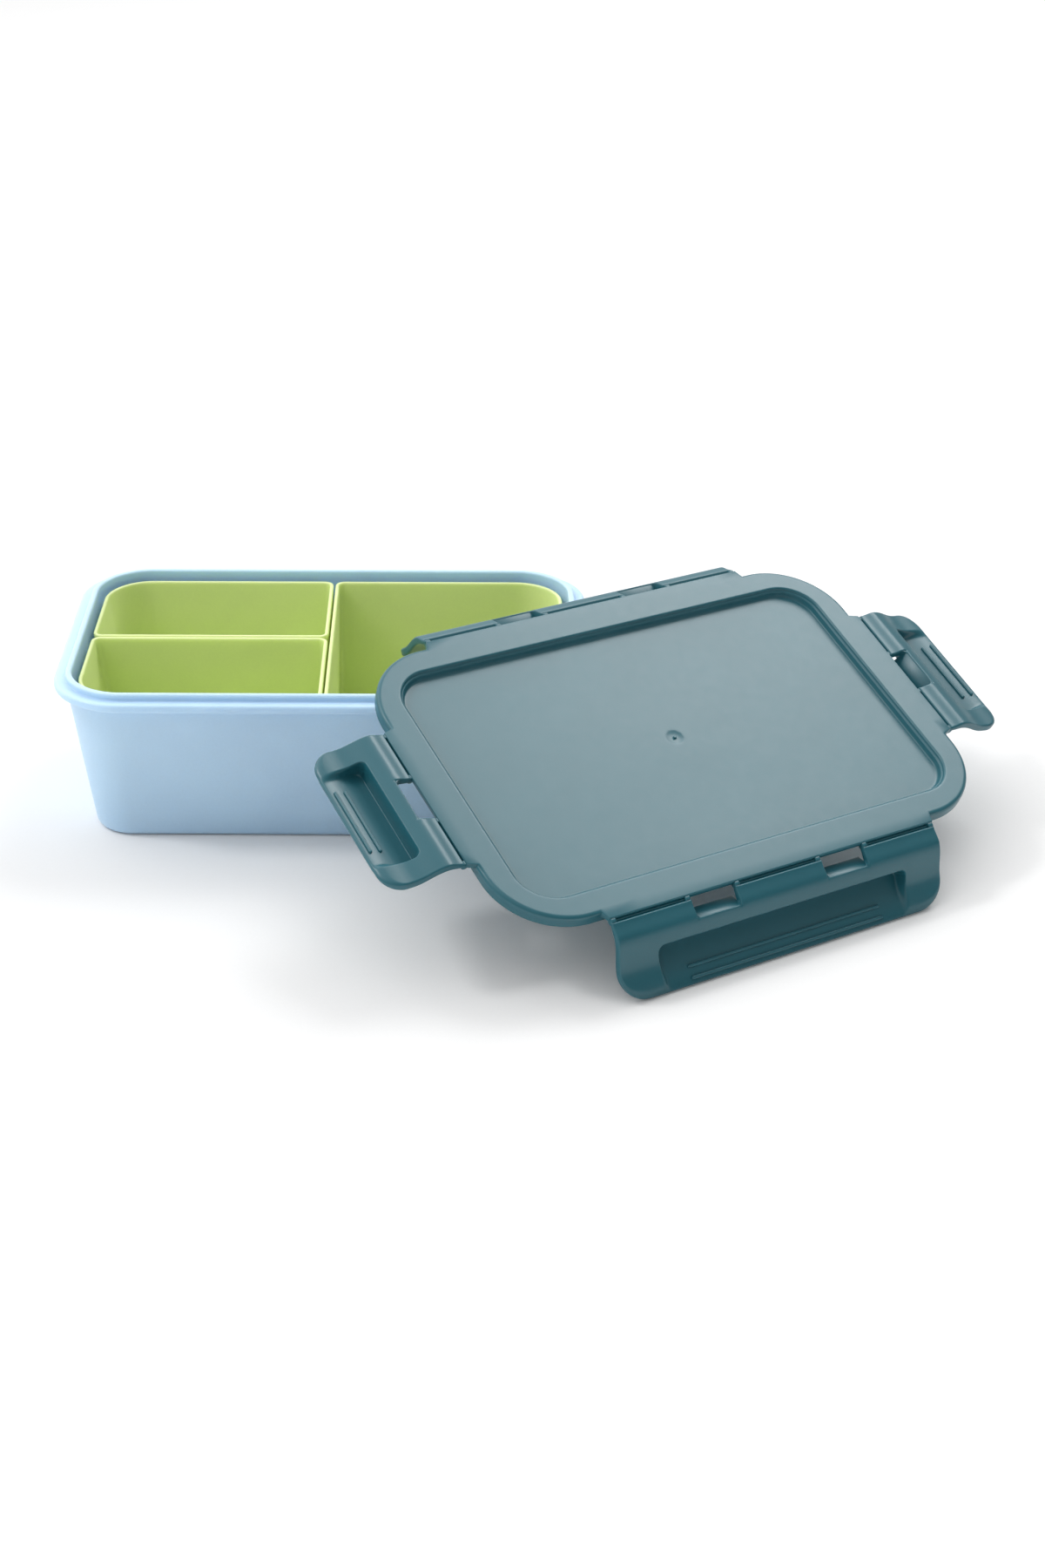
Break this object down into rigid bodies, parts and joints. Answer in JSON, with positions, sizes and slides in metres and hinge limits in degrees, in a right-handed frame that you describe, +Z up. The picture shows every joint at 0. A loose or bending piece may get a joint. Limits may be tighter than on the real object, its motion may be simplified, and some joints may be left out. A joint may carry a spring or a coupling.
{
  "type": "lunch box",
  "caption": "Open lunch box: drafted plastic tub with lift-out compartment trays, and a lid leaning on it with four latches on film hinges",
  "frame": {"origin": "middle of the tub's flat underside, on the surface it rests on", "axes": "X along the box's length, with the leaning lid towards +X and -Y; Y to the back; Z up"},
  "size_m": [0.388, 0.2517, 0.0878],
  "materials": {
    "tub_plastic": "satin moulded polypropylene, light blue",
    "tray_plastic": "satin moulded polypropylene, lime green",
    "lid_plastic": "satin moulded polypropylene, teal",
    "gasket_silicone": "soft silicone, translucent pale grey"
  },
  "bodies": {
    "tub": {"tub": "tub_plastic"},
    "tray_front_left": {"tray_front_left": "tray_plastic"},
    "tray_back_left": {"tray_back_left": "tray_plastic"},
    "tray_right": {"tray_right": "tray_plastic"},
    "lid": {"lid": "lid_plastic", "lid_gasket": "gasket_silicone", "film_hinge_front": "lid_plastic", "film_hinge_back": "lid_plastic", "film_hinge_left": "lid_plastic", "film_hinge_right": "lid_plastic"},
    "latch_front": {"latch_front": "lid_plastic"},
    "latch_back": {"latch_back": "lid_plastic"},
    "latch_left": {"latch_left": "lid_plastic"},
    "latch_right": {"latch_right": "lid_plastic"}
  },
  "joints": [
    {"name": "lid_lift", "type": "slide", "parent": "tub", "child": "lid", "axis": [0, 0, 1], "range_m": [0, 0.15]},
    {"name": "tray_front_left_lift", "type": "slide", "parent": "tub", "child": "tray_front_left", "axis": [0, 0, 1], "range_m": [0, 0.075]},
    {"name": "tray_back_left_lift", "type": "slide", "parent": "tub", "child": "tray_back_left", "axis": [0, 0, 1], "range_m": [0, 0.075]},
    {"name": "tray_right_lift", "type": "slide", "parent": "tub", "child": "tray_right", "axis": [0, 0, 1], "range_m": [0, 0.075]},
    {"name": "latch_front_hinge", "type": "hinge", "parent": "lid", "child": "latch_front", "pos_m": [0.1739, -0.13584, 0.03032], "axis": [-0.8695, -0.4939, 0], "range_deg": [-44.3, 60.7]},
    {"name": "latch_back_hinge", "type": "hinge", "parent": "lid", "child": "latch_back", "pos_m": [0.1061, -0.01649, 0.08619], "axis": [0.8695, 0.4939, 0], "range_deg": [0, 66]},
    {"name": "latch_left_hinge", "type": "hinge", "parent": "lid", "child": "latch_left", "pos_m": [0.04079, -0.13253, 0.05826], "axis": [-0.4575, 0.8053, 0.377], "range_deg": [-86, 19]},
    {"name": "latch_right_hinge", "type": "hinge", "parent": "lid", "child": "latch_right", "pos_m": [0.23921, -0.01981, 0.05826], "axis": [0.4575, -0.8053, -0.377], "range_deg": [-78, 27]}
  ],
  "couplings": [
    {"joint": "tray_right_lift", "follows": "lid_lift", "ratio": 0.5}
  ]
}
